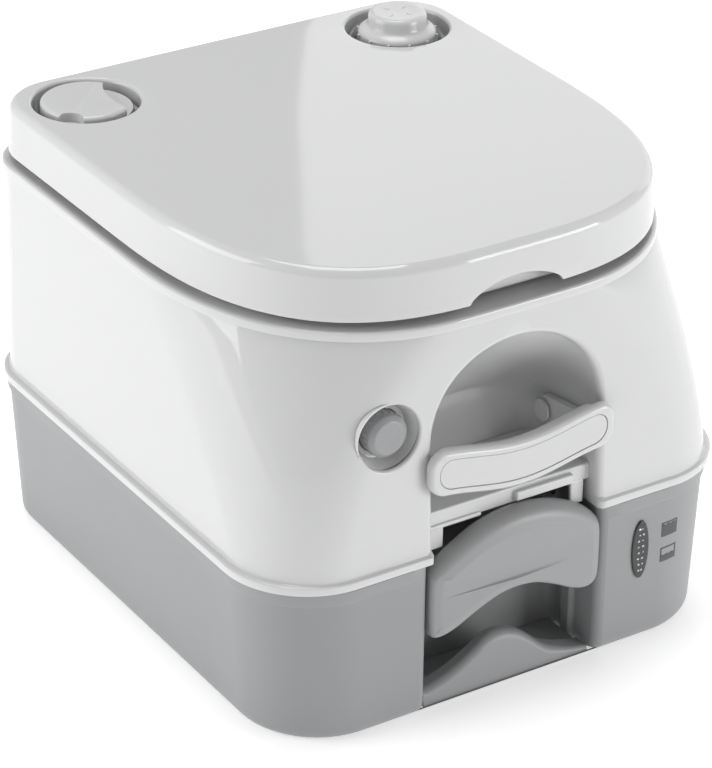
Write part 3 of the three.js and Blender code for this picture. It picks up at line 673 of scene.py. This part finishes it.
def well_mouth(x, y):
    """Cutter for a well in the lid, with a rounded mouth."""
    radius = 34
    top = 297.2
    lip = 2.4
    profile = [(radius, 262), (radius, top - lip)]
    for degrees in (15, 30, 45, 60, 76):
        t = math.radians(degrees)
        profile.append((radius + lip * (1 - math.cos(t)), top - lip + lip * math.sin(t)))
    profile.append((profile[-1][0] + 4, top + 1.0))
    return turned("mouth", profile, x, y)


def bowl_deck():
    """The deck's rim and the bowl in one skin: round the rim, down inside the bowl and up behind it."""
    band = plan(DECK_TOP, RIM, 0)
    rim_levels = [
        (255.2, -3.5), (255.2, -1.1), (253.6, -1.1), (253.2, -0.9), (253.2, -0.6), (253.5, -0.2),
        (254.2, 0.0), (257.4, 0.0), (258.4, -0.35), (259.0, -1.1), (DECK_TOP, -2.1), (DECK_TOP, -8),
    ]
    inside = [
        (DECK_TOP, -36, 99, 118), (258.6, -36, 95.5, 114.5), (256, -36, 92.2, 111), (248, -35.6, 90, 108.6),
        (232, -34, 86.5, 104.6), (216, -31.5, 83, 99.4), (200, -29, 78.8, 93.6), (185, -24, 74, 86.5),
        (171, -19, 68.8, 78.6), (156, -12.5, 63, 71), (142, -6, 56.8, 63.6), (130, -0.5, 51.3, 55.4),
        (120, 3.4, 46.8, 48.8), (112, 5, 41.5, 41.8), (108.2, 5, 41, 41), (108, 5, 41.6, 41.6),
    ]
    outside = [
        (108, 5, 46.4, 46.4), (108.4, 5, 47, 47), (120, 4, 50, 52), (142, -6, 60, 67), (171, -19, 72, 82),
        (200, -29, 82, 97), (232, -34, 90, 108), (255.3, -36, 93.5, 112.5),
    ]
    loops = [plan(z, RIM, grow) for z, grow in rim_levels]
    loops += [ellipse_facing(band, z, cy, ax, ay) for z, cy, ax, ay in inside + outside]
    deck = loft("bowl_skin", loops, ring=True)
    cut(deck, turned("pump", [(24.5, 250), (24.5, 265)], *PUMP),
        turned("fill", [(25.5, 250), (25.5, 265)], *FILL))
    return finish_piece(deck, "base", WHITE, ["bowl"], angle=30)


def seat():
    outline = (148, -163, 84, 112, 92, 30, 2)
    outer = plan(0, outline)
    outside = [(262, -9), (262, -4.5), (262.8, -1.8), (264.6, -0.3), (267, 0), (270.6, -0.3), (273.2, -2.2),
               (274.6, -5.5), (275, -10)]
    inside = [(275, 96, 114.6), (274.4, 92.3, 111), (272.4, 89, 107.8), (269.5, 87, 106), (266, 86.4, 105.4),
              (263.4, 87.6, 106.6), (262.2, 90.5, 109.5), (262, 94, 112.6)]
    loops = [plan(z, outline, grow) for z, grow in outside]
    loops += [ellipse_facing(outer, z, -37, ax, ay) for z, ax, ay in inside]
    ring = loft("seat_skin", loops, ring=True)
    join(ring, soft_box("tongue", (-70, 66, 264), (70, 143, 272), 2, segments=5))
    for side in (-1, 1):
        a, b = sorted((58 * side, 70 * side))
        join(ring, soft_box("ear", (a, 139, 267), (b, 170, 271), 0.8),
             turned("eye", [(HINGE_EYE, a), (HINGE_EYE, b)], *HINGE, axis="x", sides=40))
    cut(ring, turned("pin", [(PIN_BORE, -100), (PIN_BORE, 100)], *HINGE, axis="x", sides=32))
    return finish_piece(ring, "seat", WHITE_TRIM, ["seat"], angle=30)


# ---- front pieces ----
def valve_handle():
    """The crescent grip in front, a thicker core behind it, and the tongue that carries the blade."""
    outline = spline([
        (-60.5, 55), (-57.5, 52.2), (-51, 52.6), (-42, 56), (-29, 63), (-14, 69.2), (0, 71), (14, 69),
        (28, 63), (40, 56.5), (50, 53), (57.5, 54), (61.4, 60), (62.1, 76), (61.6, 95), (57, 103.5),
        (45, 112), (28, 119.4), (10, 122.8), (-8, 122.6), (-26, 118.6), (-42, 110.6), (-54.5, 102.3),
        (-60.6, 95.5), (-61.6, 80), (-61.4, 65)], steps=6)
    radii = [3.4 + 6.4 * max(0.0, r) for r in outward_rise(outline)]
    shell = pillow("valve_grip", outline, lambda x, z: -187 + 0.0006 * x * x, lambda x, z: -173.2, radii,
                   back_radius=2.0, crown=0.7, steps=8)
    core_inset = 2.4
    core_top = 102
    lower = [(x, z) for x, z in inset(outline, [core_inset] * len(outline)) if z < core_top]
    core = pillow("core", lower, lambda x, z: -178, lambda x, z: -160.5, [0.4] * len(lower),
                  back_radius=1.5, steps=2)
    tongue = soft_box("tongue", (-44, -163, 95.5), (44, -146, 101.5), 1.2)
    grip = gather("valve_grip", [shell, core, tongue])
    return finish_piece(grip, "slide_valve", TRIM_GREY, ["valve_handle"], angle=40)


def foot_tab():
    bottom = 0.6
    top = spline([(61, 3.5), (50, 5.5), (40, 8.5), (30, 13), (20, 21.5), (11, 28), (0, 31.3), (-11, 30),
                  (-22, 24), (-33, 18.3), (-46, 13.4), (-61, 10)], steps=5, closed=False)
    outline = [(x, bottom) for x in (-61, -40, -20, 0, 20, 40, 61)] + top
    radii = [0.6 + 4.4 * max(0.0, rise) * min(1, (z - bottom) / 10)
             for rise, (x, z) in zip(outward_rise(outline), outline)]
    hump = pillow("foot_tab_skin", outline, lambda x, z: -177.5 + 0.2 * z, lambda x, z: -165 + 0.06 * z,
                  radii, back_radius=0.5, steps=6)
    plate = soft_box("plate", (-60, -168, 0.4), (60, -136.4, 3), 0.8)
    tab = gather("foot_tab_skin", [hump, plate])
    return finish_piece(tab, "base", TANK_GREY, ["foot_tab"], angle=40)


def smile(half, height, radius):
    """Long sagging outline with round ends, anticlockwise seen from the front."""
    end_z, mid_z, bar_half = 166.5, 157.9, 66
    low, high = end_z - height / 2, end_z + height / 2
    run = half - radius
    straight, steps = 20, 10

    def sag(x):
        return (mid_z - end_z) * (0.5 + 0.5 * math.cos(math.pi * x / bar_half))

    level = [(-run + 2 * run * i / straight, low) for i in range(straight + 1)]
    level += arc(radius, -90, 0, steps, (run, low + radius))[1:]
    level += arc(radius, 0, 90, steps, (run, high - radius))
    level += [(run - 2 * run * i / straight, high) for i in range(1, straight + 1)]
    level += arc(radius, 90, 180, steps, (-run, high - radius))[1:]
    level += arc(radius, 180, 270, steps, (-run, low + radius))[:-1]
    return [(x, z + sag(x)) for x, z in level]


def carry_handle():
    """The bar with its grip behind, two arms, and an inlaid panel as a piece of its own."""
    outline = smile(66, 29.5, 11)
    shell = pillow("carry_bar", outline, lambda x, z: -187.95,
                   lambda x, z: -181.8 - 0.22 * max(0.0, 162 - z), [3.0] * len(outline))
    inner = smile(58.6, 26.5, 9)
    grip = pillow("grip", inner, lambda x, z: -184, lambda x, z: -174.5, [1.0] * len(inner),
                  back_radius=4.5, steps=3)
    pocket_shape = smile(60.2, 20.2, 9.4)
    pocket = loft("pocket", [[(x, y, z) for x, z in pocket_shape] for y in (-190, -186.7)],
                  cap_shapes=[pocket_shape, pocket_shape])
    join(shell, grip)
    cut(shell, pocket)
    web = filleted([(-126, 146, 7.9), (-126, 162, 7.9), (-178, 169, 1), (-178, 153, 1)])
    for side in (-1, 1):
        join(shell, loft("arm", [[(x, y, z) for y, z in web] for x in (52.4 * side, 57.4 * side)]))
    cut(shell, turned("bore", [(PIVOT_BORE, -80), (PIVOT_BORE, 80)], *HANDLE_PIVOT, axis="x", sides=32))
    finish_piece(shell, "carry_handle", WHITE_TRIM, ["carry_handle"], angle=34)
    panel_outline = smile(59.7, 19.2, 9)
    panel = pillow("handle_panel", panel_outline, lambda x, z: -187.75, lambda x, z: -186.9,
                   [0.35] * len(panel_outline), back_radius=0.1, steps=3)
    finish_piece(panel, "carry_handle", WHITE_TRIM, ["handle_insert"], angle=34)


def front_apron():
    solids = [
        soft_box("plate", (-60, -172.4, 122), (60, -169.6, 133), 1.2),
        soft_box("left", (-60, -172.4, 106.6), (-46, -169.6, 123), 1.2),
        soft_box("right", (46, -172.4, 106.6), (56, -169.6, 123), 1.2),
        soft_box("shelf", (-60, -172, 130), (60, -116, 133), 1.2),
        soft_box("boss", (4, -176, 124), (46, -170, 130.5), 1.4, segments=4),
        soft_box("left_lip", (-58, -174, 121), (-20, -170, 124), 1.2),
    ]
    apron = gather("front_apron_skin", solids)
    return finish_piece(apron, "base", WHITE_TRIM, ["front_apron"], angle=40)


def flush_button():
    """A dished bezel and the ribbed button in it."""
    bx, bz = BUTTON
    rim = face_y(bz)
    bottom = rim + 12
    cup = [(20.5, rim + 2.6), (21.6, rim + 2.6), (21.6, bottom + 3), (14, bottom + 3), (14, bottom + 0.3),
           (14.3, bottom), (16.2, bottom), (17.0, bottom - 0.4), (17.3, bottom - 1.2), (20.3, rim + 3.4)]
    bezel = turned("button_well", cup, bx, bz, axis="y", ring=True)
    finish_piece(bezel, "base", WHITE_TRIM, ["button_bezel"], angle=30)
    face = rim + 0.6
    head = [(AXIS, face + 0.15), (6, face + 0.12), (9.4, face), (10.4, face + 0.2), (10.9, face + 0.7),
            (12.7, face + 2.0), (13.3, face + 2.7), (13.5, face + 3.6), (13.5, face + 17), (3.5, face + 17),
            (3.5, -128)]

    def rib():
        return soft_box("rib", (-0.5, face + 5.5, 13.2), (0.5, face + 14, 14.0), 0.2, segments=2)

    solids = [turned("flush_button_cap", head, bx, bz, axis="y")] + around(rib, 20, (bx, 0, bz), "y")
    button = gather("flush_button_cap", solids)
    finish_piece(button, "flush_button", TRIM_GREY, ["flush_button"], angle=34)


def tank_y(x, z):
    """The tank's front surface, round its corner."""
    half, front, _, rx, ry = tank_shape(z)[:5]
    past = max(0.0, abs(x) - (half - rx))
    return front + ry - ry * math.sqrt(max(0.0, 1 - (past / rx) ** 2))


def level_window():
    """A dark oval lens with two columns of small faceted prisms."""
    lx, lz = LENS
    sides = 72
    outline = [(lx + 6.2 * math.cos(t), lz + 20.5 * math.sin(t)) for t in full_circle(sides)]
    lens = pillow("level_window", outline, lambda x, z: -184.6, lambda x, z: -183.4, [0.7] * sides,
                  back_radius=0.1, steps=5)
    finish_piece(lens, "base", DARK, ["level_lens"], angle=30)
    chips = []
    corners = 5
    for row in range(8):
        z = lz - 14.7 + row * 4.2
        reach = 3.4 * math.sqrt(max(0.05, 1 - ((z - lz) / 18.5) ** 2))
        for side in (-1, 1):
            x = lx + side * reach * 0.5 + 0.35 * math.sin(row * 2.4)
            size = 0.62 + 0.3 * math.sin(row * 1.7 + side) ** 2
            tip = (x, -185.1, z + 0.35 * side)
            ring = [(x + size * 1.15 * math.cos(t + row), -184.55, z + size * math.sin(t + row))
                    for t in full_circle(corners)]
            faces = []
            for i in range(corners):
                following = (i + 1) % corners
                faces += [(i, following, corners), (following, i, corners + 1)]
            chips.append(build("chip", ring + [tip, (x, -184.2, z)], faces))
    prisms = gather("level_prism_facets", chips)
    finish_piece(prisms, "base", PRISM, ["level_prisms"], angle=5)


def print_plate(name, low, high, x0, x1, steps=24):
    """A thin printed patch on the tank between two height curves."""
    sunk, proud = 0.1, 0.22
    loops = []
    for i in range(steps + 1):
        x = x0 + (x1 - x0) * i / steps
        a, b = low(x), high(x)
        loops.append([(x, tank_y(x, a) + sunk, a), (x, tank_y(x, a) - proud, a),
                      (x, tank_y(x, b) - proud, b), (x, tank_y(x, b) + sunk, b)])
    return loft(name, loops)


def pictogram(name, node, bottom, filled):
    """A square outline filled up to a wavy level."""
    x0, x1, height, line = 109.5, 122, 10, 0.8

    def wave(x):
        return 0.35 * math.sin((x - x0) * 1.5)

    top = bottom + height
    level = bottom + height * filled
    parts = [
        print_plate("body", lambda x: bottom, lambda x: level + wave(x), x0, x1),
        print_plate("left", lambda x: level - 1, lambda x: top, x0, x0 + line, 2),
        print_plate("right", lambda x: level - 1, lambda x: top, x1 - line, x1, 2),
        print_plate("top", lambda x: top - line, lambda x: top, x0, x1),
    ]
    sign = gather(name, parts)
    finish_piece(sign, "base", PRINT, [node], angle=40)


# ---- top pieces ----
def dashes(x, y, near, far, low, high, start):
    """Four short raised marks round the middle of a cap."""
    def dash():
        return soft_box("dash", (near, -0.45, low), (far, 0.45, high), 0.15, segments=2)
    return around(dash, 4, (x, y, 0), "z", start)


def pump_knob():
    x, y = PUMP
    profile = [(AXIS, 268), (22.4, 268), (22.8, 268.4), (22.8, 284), (25.4, 285), (26, 286), (26, 293.4),
               (25.6, 294.8), (24.4, 296.2), (22.4, 297.4), (20.6, 298.4), (19.9, 299.6), (19.5, 301.6),
               (19.2, 304.4), (18.9, 306), (18.2, 307.2), (17, 307.8), (15.6, 307.95), (12, 307.6),
               (6, 307.3), (AXIS, 307.2)]
    ribs = 12

    def rib():
        return soft_box("rib", (25.2, -0.9, 286.5), (27.2, 0.9, 294.4), 0.5)

    solids = [turned("pump_grip", profile, x, y)]
    solids += around(rib, ribs, (x, y, 0), "z", math.pi / ribs)
    solids += dashes(x, y, 6.5, 10.5, 307.2, 307.75, 0.5)
    finish_piece(gather("pump_grip", solids), "pump", WHITE_TRIM, ["pump_knob"], angle=36)


def fill_cap():
    """A flat cap with a chord cut away on one side, a finger scoop on the other, and a small mark."""
    x, y = FILL
    floor = 292.2
    profile = [(AXIS, 286), (25.5, 286), (25.5, 277), (25.6, 277), (28.4, 277), (29, 277.6), (29, 295.4),
               (28.7, 296.6), (27.8, 297.6), (26.4, 298.1), (18, 298.3), (AXIS, 298.4)]
    cap = turned("fill_cap_skin", profile, x, y)
    cut(cap, turned("bite", [(50, floor), (50, 302)], x + 13 + 50, y - 10, sides=128),
        turned("notch", [(9.5, floor), (9.5, 302)], x - 24, y - 22, sides=64))
    cap = gather("fill_cap_skin", [cap] + dashes(x - 2, y, 5.5, 9.5, 298.0, 298.4, 0.4))
    finish_piece(cap, "fill_cap", WHITE_TRIM, ["fill_cap"], angle=34)
    size = 0.62
    mark = [(x - 27.2 + u * size, y - 13 + v * size)
            for u, v in filleted([(-6, 0, 0.4), (2.5, -5.2, 0.4), (2.5, 5.2, 0.4)], steps=4)]
    arrow = loft("cap_mark", [[(u, v, z) for u, v in mark] for z in (floor + 0.1, floor + 0.3)])
    finish_piece(arrow, "fill_cap", PRINT)


def necks():
    """The filler neck and the pump's barrel, both with a collar on the deck."""
    neck_profile = [(22, 238), (25, 238), (25, 259.5), (30, 259.5), (30, 261.4), (29.4, 262), (25, 262),
                    (25, 281.6), (24, 283), (22.6, 283), (22, 282.4)]
    barrel_profile = [(5.5, 259), (21, 259), (21, 121), (5, 121), (5, 118), (24, 118), (24, 259.5),
                      (30, 259.5), (30, 261.4), (29.4, 262), (6, 262), (5.5, 261.5)]
    neck = turned("fill_neck_skin", neck_profile, *FILL, ring=True)
    finish_piece(neck, "base", WHITE_TRIM, ["fill_neck"])
    barrel = turned("pump_barrel", barrel_profile, *PUMP, ring=True)
    finish_piece(barrel, "base", WHITE_TRIM, ["pump_cylinder"])


# ---- rear pieces ----
def sweep(path, y, radii, sides=64):
    """Circles of the given radii along a path of (x, z) points."""
    across = Vector((0, 1, 0))
    loops = []
    for i, ((u, w), radius) in enumerate(zip(path, radii)):
        a, b = path[max(i - 1, 0)], path[min(i + 1, len(path) - 1)]
        along = Vector((b[0] - a[0], 0, b[1] - a[1])).normalized()
        up = along.cross(across)
        loops.append([tuple(Vector((u, y, w)) + (across * math.cos(t) + up * math.sin(t)) * radius)
                      for t in full_circle(sides)])
    return loops


def spout():
    """An elbow out of the tank with a threaded end, and its ribbed cap."""
    x, y, z = SPOUT
    bend = 20
    path = [(x, 49.4), (x, 51), (x, 53.5)]
    for k in range(11):
        t = math.radians(9 * k)
        path.append((x + bend - bend * math.cos(t), z - bend + bend * math.sin(t)))
    path += [(x + 30, z), (100, z), (118, z), (128, z)]
    last = 3    # the threaded end is a little narrower
    outer = sweep(path, y, [20] * (len(path) - last) + [19.6] * last)
    inner = sweep(path, y, [16.5] * len(path))
    solids = [loft("spout_elbow", outer + inner[::-1], ring=True)]
    for start in (104, 108.5, 113):
        thread = [(19, start), (20.35, start + 0.9), (20.35, start + 1.7), (19, start + 2.6)]
        solids.append(turned("thread", thread, y, z, axis="x", sides=64))
    elbow = gather("spout_elbow", solids)
    finish_piece(elbow, "spout", TRIM_GREY, ["pour_spout"], angle=34)
    cup = [(AXIS, 130), (20.6, 130), (20.6, 119), (22.9, 119), (23.5, 119.7), (23.5, 131), (23.1, 132.2),
           (22, 133), (AXIS, 133)]

    def rib():
        return soft_box("rib", (120.5, 23.2, -0.8), (131.5, 24.2, 0.8), 0.35, segments=2)

    solids = [turned("spout_cap_skin", cup, y, z, axis="x"),
              soft_box("bar", (131, y - 3, z - 19.5), (140, y + 3, z + 19.5), 1.6, segments=4)]
    solids += around(rib, 28, (0, y, z), "x")
    cap = gather("spout_cap_skin", solids)
    finish_piece(cap, "spout_cap", WORKS, ["spout_cap"], angle=34)


def vent_button():
    profile = [(AXIS, 160), (3, 160), (3, 184.2), (7.3, 184.2), (7.5, 184.6), (7.4, 186.4), (6.9, 187.4),
               (6, 187.9), (3, 187.6), (AXIS, 187.5)]
    button = turned("vent_cap", profile, *VENT, axis="y", sides=64)
    finish_piece(button, "vent_button", WORKS, ["vent_button"])


def rear_latch():
    """A plate with a hook below and two barrels round its pin, and the bracket that holds the pin."""
    outline = filleted([(-22, 90, 3), (22, 90, 3), (22, 128, 2), (17, 132.5, 1), (17, 139.5, 0.6),
                        (-17, 139.5, 0.6), (-17, 132.5, 1), (-22, 128, 2)], steps=5)
    loops = []
    for y, pull in ((186.6, 0.5), (186.9, 0), (187.6, 0), (187.95, 0.4)):
        loops.append([(x, y, z) for x, z in inset(outline, [pull] * len(outline))])
    solids = [loft("latch_plate", loops), soft_box("hook", (-14, 183.7, 92.5), (14, 187, 96.6), 0.6),
              soft_box("lift", (-18, 187.2, 91), (18, 187.95, 93.5), 0.35, segments=2)]
    for side in (-1, 1):
        a, b = sorted((1.5 * side, 17 * side))
        wall = [(1.5, a), (2.4, a), (2.4, b), (1.5, b)]
        solids.append(turned("barrel", wall, *LATCH, axis="x", sides=32, ring=True))
    plate = gather("latch_plate", solids)
    finish_piece(plate, "rear_latch", TRIM_GREY, ["rear_latch"], angle=34)
    solids = []
    for side in (-1, 1):
        a, b = sorted((17.5 * side, 23.5 * side))
        solids.append(soft_box("cheek", (a, 182.9, 133.5), (b, 187.95, 141.5), 0.9))
    solids.append(soft_box("bridge", (-23.5, 182.6, 141), (23.5, 183.6, 146), 0.3))
    bracket = gather("latch_mount", solids)
    finish_piece(bracket, "base", WHITE_TRIM, ["latch_bracket"])


def hinge_brackets():
    for side, word in ((-1, "left"), (1, "right")):
        a, b = sorted((47 * side, 57 * side))
        foot = soft_box("foot", (a, 146, DECK_TOP + 0.1), (b, 159, 272), 1.0)
        join(foot, soft_box("arm", (a, 156, 267.2), (b, 169, 272), 1.0),
             turned("eye", [(HINGE_EYE, a), (HINGE_EYE, b)], *HINGE, axis="x", sides=40))
        foot.name = f"hinge_mount_{word}"
        finish_piece(foot, "base", WHITE_TRIM, [f"hinge_bracket_{word}"])


def bumpers():
    """Round pads in the places of the frame's bumpers."""
    for kind, count in (("seat", 4), ("lid", 2)):
        for number in range(1, count + 1):
            node = f"{kind}_bumper_{number}"
            low, high = (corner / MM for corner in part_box(node))
            x, y = (low.x + high.x) / 2, (low.y + high.y) / 2
            radius = (high.x - low.x) / 2
            profile = [(AXIS, low.z), (radius - 1.2, low.z), (radius - 0.3, low.z + 0.4),
                       (radius, low.z + 1.1), (radius, high.z), (AXIS, high.z)]
            pad = turned(f"{kind}_pad_{number}", profile, x, y, sides=40)
            finish_piece(pad, kind, RUBBER, [node])


def frame_materials():
    """Frame solids that stay in view get a procedural finish."""
    looks = {
        WORKS: ["valve_frame", "spout_collar", "vent_valve", "flush_valve", "pump_piston"],
        PALE: ["valve_blade", "flush_hose"],
        RUBBER: ["blade_seal", "spout_cap_seal", "outlet_seal", "piston_seal", "fill_cap_seal"],
        STEEL: ["vent_spring", "latch_pin", "flush_spring", "pump_rod", "hinge_pin_left", "hinge_pin_right"],
        WHITE_TRIM: ["base_plate", "rim_nozzle", "handle_pin_left", "handle_pin_right"],
    }
    for material, names in looks.items():
        for name in names:
            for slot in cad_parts[name].material_slots:
                slot.material = material


# ---- studio ----
def camera():
    """The camera in front, to the left and above, for a frame 768 tall."""
    turn, lift, roll = math.radians(-32.71), math.radians(28.53), math.radians(0.63)
    distance = 2179.98
    focal_length, frame_height = 3455.19, 768    # both in units of the frame
    away = Vector((math.sin(turn) * math.cos(lift), -math.cos(turn) * math.cos(lift), math.sin(lift)))
    level = (-away).cross(Vector((0, 0, 1))).normalized()
    upright = level.cross(-away)
    right = math.cos(roll) * level + math.sin(roll) * upright
    up = -math.sin(roll) * level + math.cos(roll) * upright
    aim = Vector((0, 0, 150)) + level * 1.52 + upright * -23.01
    place = (aim + away * distance) * MM
    data = bpy.data.cameras.new("camera")
    data.sensor_width = 36
    data.lens = focal_length / frame_height * data.sensor_width
    data.clip_end = 50
    obj = bpy.data.objects.new("camera", data)
    bpy.context.collection.objects.link(obj)
    rows = Matrix((right, up, away)).transposed()
    obj.matrix_world = Matrix.Translation(place) @ rows.to_4x4()
    bpy.context.scene.camera = obj


def area_light(name, place, target, size, power, size_y=None):
    """Places and sizes in metres, power in watts."""
    data = bpy.data.lights.new(name, "AREA")
    data.shape = "RECTANGLE"
    data.size = size
    data.size_y = size_y or size
    data.energy = power
    obj = bpy.data.objects.new(name, data)
    bpy.context.collection.objects.link(obj)
    obj.location = place
    obj.rotation_euler = (Vector(target) - Vector(place)).to_track_quat("-Z", "Y").to_euler()
    return obj


def studio_floor():
    """A plain pale floor that glows faintly, so that it stays near white."""
    size = 8.0 / MM
    corners = [(x, y, 0) for x, y in ((-size, -size), (size, -size), (size, size), (-size, size))]
    plane = build("floor", corners, [(0, 1, 2, 3)])
    plane.location.z = -0.0002
    material = bpy.data.materials.new("floor")
    material.use_nodes = True
    shader = material.node_tree.nodes["Principled BSDF"]
    shader.inputs["Base Color"].default_value = (0.9, 0.9, 0.9, 1)
    shader.inputs["Roughness"].default_value = 0.9
    shader.inputs["Specular IOR Level"].default_value = 0.1
    shader.inputs["Emission Color"].default_value = (1, 1, 1, 1)
    shader.inputs["Emission Strength"].default_value = 0.42
    plane.data.materials.append(material)


def studio():
    """Even surroundings, soft lights, and a tall card that the lid reflects."""
    world = bpy.data.worlds.new("studio")
    world.use_nodes = True
    background = world.node_tree.nodes["Background"]
    background.inputs["Color"].default_value = (1, 1, 1, 1)
    background.inputs["Strength"].default_value = 0.34
    bpy.context.scene.world = world
    bpy.context.scene.view_settings.view_transform = "Standard"
    area_light("left key", (-1.75, 0.6, 0.8), (-0.05, 0, 0.14), 1.3, 20)
    area_light("front key", (1.35, -1.85, 0.42), (0.05, -0.1, 0.14), 1.0, 23)
    area_light("top", (0.1, 0.3, 2.4), (0, 0, 0.2), 1.2, 24)
    area_light("rear card", (2.27, 1.28, 1.15), (1.22, -0.42, 1.15), 2.6, 15, 1.7)


camera()
holding_tank()
upper_casing()
lid()
bowl_deck()
seat()
valve_handle()
foot_tab()
carry_handle()
front_apron()
flush_button()
level_window()
pictogram("sign_full", "pictogram_full", 70, 0.84)
pictogram("sign_half", "pictogram_half", 52, 0.45)
pump_knob()
fill_cap()
necks()
spout()
vent_button()
rear_latch()
hinge_brackets()
bumpers()
frame_materials()
studio_floor()
studio()
